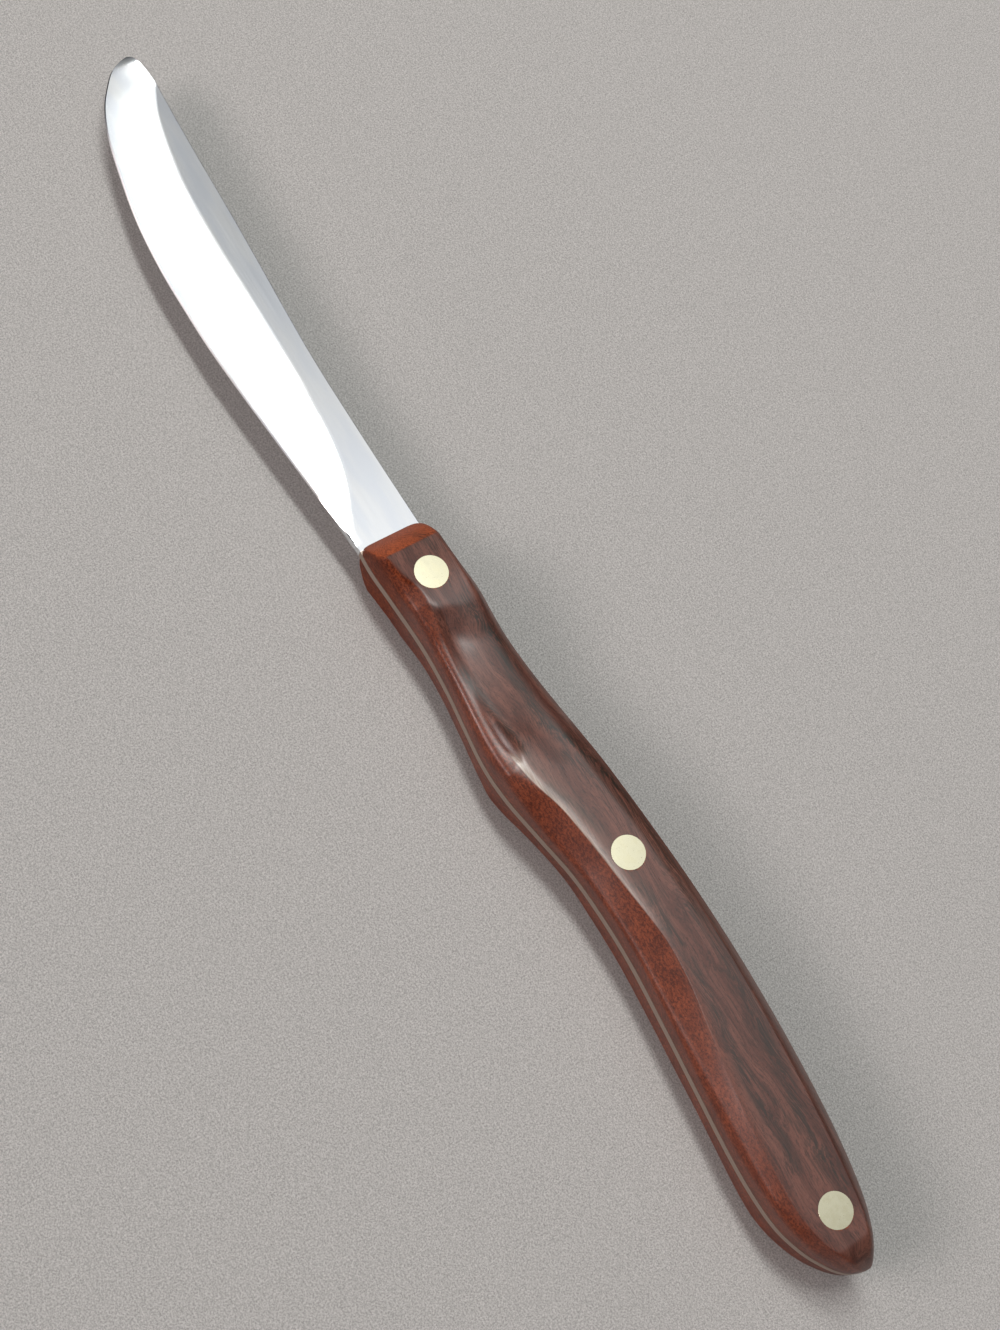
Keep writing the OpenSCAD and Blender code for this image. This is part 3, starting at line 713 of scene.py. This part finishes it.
def wood_material():
    """Reddish-brown layered wood: mauve-brown with dark wavy lines on its
    face, orange-red and finely speckled where it is cut across."""
    made, g = new_material("layered_wood")
    p = g.millimetres()
    wave = g.noise(g.scaled(p, WAVE), 1.0, 2.0)
    shift = g.math("MULTIPLY_ADD", wave, WAVE_REACH, -WAVE_REACH / 2)
    warp = g.add("ShaderNodeCombineXYZ", {"Y": shift, "Z": g.math("MULTIPLY", shift, 0.5)})
    q = g.add("ShaderNodeVectorMath", {0: p, 1: warp}, operation="ADD")
    bands = g.noise(g.scaled(q, BANDS), 1.0, 3.0, 0.6)
    lines = g.noise(g.scaled(q, LINES), 1.0, 4.0, 0.7)
    threads = g.noise(g.scaled(q, THREADS), 1.0, 3.0, 0.7)
    pores = g.noise(g.scaled(p, PORES), 1.0, 3.0, 0.7)
    speckle = g.noise(g.scaled(p, SPECKLE), 1.0, 3.0, 0.8)
    blotch = g.noise(g.scaled(p, BLOTCH), 1.0, 2.0)
    across = g.attribute("across")
    face = g.mix(g.step(bands, 0.34, 0.66), colour(*FACE), colour(*FACE_PALE))
    face = g.mix(g.step(lines, 0.46, 0.66, 0.0, 0.6), face, colour(*FACE_LINE))
    face = g.mix(g.step(speckle, 0.5, 0.7, 0.0, 0.45), face, colour(*FACE_SPECK))
    side = g.mix(g.step(blotch, 0.3, 0.7), colour(*SIDE), colour(*SIDE_PALE))
    side = g.mix(g.step(speckle, 0.44, 0.6, 0.0, 0.7), side, colour(*SIDE_SPECK))
    side = g.mix(g.step(speckle, 0.34, 0.44, 0.35, 0.0), side, colour(*SIDE_GLINT))
    base = g.mix(across, face, side)
    front = g.math("MULTIPLY", g.attribute("front"), g.step(lines, 0.4, 0.62, 0.85, 0.1))
    base = g.mix(front, base, colour(*FRONT_RED))
    streak = g.math("MULTIPLY", g.attribute("dark_line"), g.step(threads, 0.42, 0.56, 0.1, 1.0))
    base = g.mix(streak, base, colour(*STREAK))
    base = g.mix(g.step(pores, 0.5, 0.68, 0.0, 0.5), base, colour(*PORE))
    # Worn rim: a pale colour for wear together with a painted highlight of the light on the ridge,
    # and a painted sheen beside it
    worn = g.math("MULTIPLY", g.attribute("rim_highlight_and_wear"), g.step(threads, 0.3, 0.62, 0.95, 0.5))
    base = g.mix(worn, base, colour(*WORN_RIM_AND_HIGHLIGHT))
    dull = g.attribute("dull")
    gloss = g.math("MULTIPLY_ADD", pores, 0.14, g.step(across, 0, 1, 0.23, 0.36))
    gloss = g.math("MULTIPLY_ADD", dull, 0.25, gloss)
    polish = g.attribute("polish")
    gloss = g.math("MULTIPLY_ADD", polish, -0.12, gloss)
    shine = g.math("MULTIPLY", g.step(dull, 0, 1, 0.5, 0.08), g.step(across, 0, 1, 1.0, 0.7))
    height = g.math("ADD", g.math("MULTIPLY", pores, 0.5), g.math("MULTIPLY", lines, 0.5))
    g.surface({"Base Color": base, "Roughness": gloss, "Normal": g.bump(height, 0.02, 0.6),
               "Coat Weight": g.step(dull, 0, 1, 0.15, 0.0), "Coat Roughness": 0.25,
               "Specular IOR Level": g.math("MULTIPLY_ADD", polish, 0.5, shine)})
    return made


# Colours of the metals and the felt, and sizes of their noises
# The tang's brown-grey is a painted reflection of the wood and shade beside it, not the steel's own
# colour
STEEL, STEEL_PALE, TANG_PAINTED_REFLECTION = (228, 231, 236), (236, 237, 238), (180, 163, 151)
STEEL_MARKS, SMUDGES = (0.12, 14.0, 14.0), (0.08, 0.4, 0.4)
PALE_METAL, METAL_SPECK, METAL_CLOUD = (222, 217, 188), (150, 138, 110), (210, 203, 170)
SPECKS, CLOUDS = 4.5, 0.9
FELT, FELT_PALE, FIBRES = (152, 150, 148), (211, 208, 206), 3.8


def steel_material():
    """Polished steel with fine marks along the blade, duller on the tang, whose colour is tinted
    brown as a painted reflection of the wood and its shade.
    """
    made, g = new_material("polished_steel")
    p = g.millimetres()
    marks = g.noise(g.scaled(p, STEEL_MARKS), 1.0, 2.0, 0.6)
    smudge = g.noise(g.scaled(p, SMUDGES), 1.0, 2.0)
    base = g.mix(g.step(smudge, 0.35, 0.7), colour(*STEEL), colour(*STEEL_PALE))
    tang = g.attribute("tang")
    # Painted reflection: the tang's steel is tinted brown for the wood and shade it mirrors
    base = g.mix(tang, base, colour(*TANG_PAINTED_REFLECTION))
    gloss = g.math("MULTIPLY_ADD", marks, 0.08, g.step(tang, 0, 1, 0.1, 0.5))
    g.surface({"Base Color": base, "Metallic": 1.0, "Roughness": gloss,
               "Normal": g.bump(marks, 0.002, 0.35)})
    return made


def rivet_material():
    """Pale nickel-silver, softly polished, with fine specks."""
    made, g = new_material("nickel_silver")
    p = g.millimetres()
    specks = g.noise(p, SPECKS, 2.0, 0.6)
    cloud = g.noise(p, CLOUDS, 2.0)
    base = g.mix(g.step(specks, 0.66, 0.74, 0.0, 0.5), colour(*PALE_METAL), colour(*METAL_SPECK))
    base = g.mix(g.step(cloud, 0.4, 0.7, 0.0, 0.4), base, colour(*METAL_CLOUD))
    gloss = g.math("MULTIPLY_ADD", cloud, 0.08, 0.17)
    g.surface({"Base Color": base, "Metallic": 1.0, "Roughness": gloss,
               "Normal": g.bump(specks, 0.004, 0.4)})
    return made


def floor_material():
    """Plain pale felt."""
    made, g = new_material("pale_felt")
    p = g.millimetres()
    fibres = g.noise(p, FIBRES, 4.0, 0.85)
    base = g.mix(g.step(fibres, 0.34, 0.66), colour(*FELT), colour(*FELT_PALE))
    g.surface({"Base Color": base, "Roughness": 0.95, "Normal": g.bump(fibres, 0.15, 0.7),
               "Specular IOR Level": 0.15})
    return made


# Light: a faint even dome with soft bright patches overhead, a window low on
# the belly side, and a long narrow lamp along the knife. A patch has the x/z
# and y/z of its direction, its spread in each of them, and its strength. The
# lamp's distance and its size are in metres.
DOME, DOME_COLOUR = 0.08, (0.98, 0.99, 1.0, 1.0)
OVERHEAD = [(-0.24, 0.42, 0.13, 0.15, 0.64), (0.03, 0.42, 0.2, 0.15, 0.69),
            (-0.64, 0.27, 0.09, 0.08, 0.45), (-0.58, 0.42, 0.1, 0.1, 0.16),
            (-0.1, 0.3, 0.8, 0.5, 0.13)]
WINDOW, WINDOW_COLOUR = [(-0.75, -1.6, 0.32, 0.42, 14.5)], (1.0, 0.88, 0.86, 1.0)
# A direction lower than this z counts as this high, to keep x/z in bounds
LEAST_Z = 0.04
LAMP_AT, LAMP_FAR, LAMP_SIZE, LAMP_POWER = (-0.35, 0.14), 1.5, (1.0, 0.17), 13.0
LAMP_COLOUR = (0.98, 1.0, 0.97)

# The photograph's viewpoint: the camera's own axes, its place from the front
# rivet's head and its near and far limits, in metres, and its sensor and lens
# in millimetres
RIGHT, UP = (0.52717, 0.81493, 0.24080), (-0.83131, 0.43585, 0.34490)
BACK, CAMERA_AT = (0.17612, -0.38200, 0.90723), (0.07111, -0.11456, 0.27511)
NEAR, FAR, SENSOR_W, LENS = 0.01, 10.0, 36.0, 54.66
# Half size of the felt and its height under the knife, in metres
FELT_HALF, FELT_Z = 1.2, -0.00003


def patches(g, across, away, wanted, total):
    """Strength of soft round patches of light, added to a total."""
    for at_x, at_y, wide_x, wide_y, power in wanted:
        u = g.math("DIVIDE", g.math("SUBTRACT", across, at_x), wide_x)
        v = g.math("DIVIDE", g.math("SUBTRACT", away, at_y), wide_y)
        far = g.math("ADD", g.math("MULTIPLY", u, u), g.math("MULTIPLY", v, v))
        glow = g.math("EXPONENT", g.math("MULTIPLY", far, -0.5))
        total = g.math("MULTIPLY_ADD", glow, power, total)
    return total


def light_dome():
    """The dome, its patches and the window, as light from all around."""
    world = bpy.data.worlds.new("soft_dome")
    bpy.context.scene.world = world
    world.use_nodes = True
    g = Graph(world.node_tree)
    direction = g.add("ShaderNodeTexCoord", out=0)
    split = g.tree.nodes.new("ShaderNodeSeparateXYZ")
    g.tree.links.new(direction, split.inputs[0])
    x, y, z = split.outputs
    above = g.math("MAXIMUM", z, LEAST_Z)
    across, away = g.math("DIVIDE", x, above), g.math("DIVIDE", y, above)
    sky = g.add("ShaderNodeBackground", {
        "Color": DOME_COLOUR, "Strength": patches(g, across, away, OVERHEAD, DOME)})
    window = g.add("ShaderNodeBackground", {
        "Color": WINDOW_COLOUR, "Strength": patches(g, across, away, WINDOW, 0.0)})
    both = g.add("ShaderNodeAddShader", {0: sky, 1: window})
    g.add("ShaderNodeOutputWorld", {"Surface": both}, out=slice(None))


def turned(right, up, back):
    """The turn of a camera or lamp that looks against back."""
    return Matrix((right, up, back)).transposed().to_4x4()


def key_light():
    """A long soft lamp overhead, which draws the shadow beside the belly."""
    data = bpy.data.lights.new("key", "AREA")
    data.shape, data.energy, data.color = "RECTANGLE", LAMP_POWER, LAMP_COLOUR
    data.size, data.size_y = LAMP_SIZE
    back = Vector((*LAMP_AT, 1)).normalized()
    up = back.cross(Vector((1, 0, 0))).normalized()
    made = placed("key", data)
    made.matrix_world = Matrix.Translation(back * LAMP_FAR) @ turned(up.cross(back), up, back)


def camera():
    """The photograph's viewpoint, worked out from the rivets and the flats."""
    data = bpy.data.cameras.new("camera")
    data.sensor_width, data.lens = SENSOR_W, LENS
    data.clip_start, data.clip_end = NEAR, FAR
    made = placed("camera", data)
    place = Matrix.Translation(HEAD_CENTRE + Vector(CAMERA_AT))
    made.matrix_world = place @ turned(Vector(RIGHT), Vector(UP), Vector(BACK))
    bpy.context.scene.camera = made


def floor():
    """The felt that the knife lies on."""
    mesh = bpy.data.meshes.new("floor")
    corners = [(-1, -1), (1, -1), (1, 1), (-1, 1)]
    mesh.from_pydata([(x * FELT_HALF, y * FELT_HALF, FELT_Z) for x, y in corners], [],
                     [(0, 1, 2, 3)])
    made = placed("floor", mesh)
    made.data.materials.append(floor_material())


def finish_piece(piece, node, material, angle):
    """Shades a piece, gives it its material and hangs it on the frame."""
    shade(piece, angle)
    piece.data.materials.clear()
    piece.data.materials.append(material)
    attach(piece, "root")
    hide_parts(node)


def build():
    """All nine pieces of the knife, with their materials."""
    steel, wood, pale = steel_material(), wood_material(), rivet_material()
    finish_piece(blade(), "blade", steel, BLADE_CRISP)
    for node, (mirror, grain_shift) in SCALES.items():
        piece = scale(node + "_wood", mirror)
        dress_scale(piece, grain_shift)
        finish_piece(piece, node, wood, WOOD_CRISP)
    for name, centre in RIVETS.items():
        pin, sleeve = f"{name}_rivet_pin", f"{name}_rivet_sleeve"
        finish_piece(rivet_pin(pin + "_turned", centre), pin, pale, RIVET_CRISP)
        finish_piece(rivet_sleeve(sleeve + "_turned", centre), sleeve, pale,
                     RIVET_CRISP)


camera()
floor()
light_dome()
key_light()
bpy.context.scene.view_settings.view_transform = "Standard"
build()
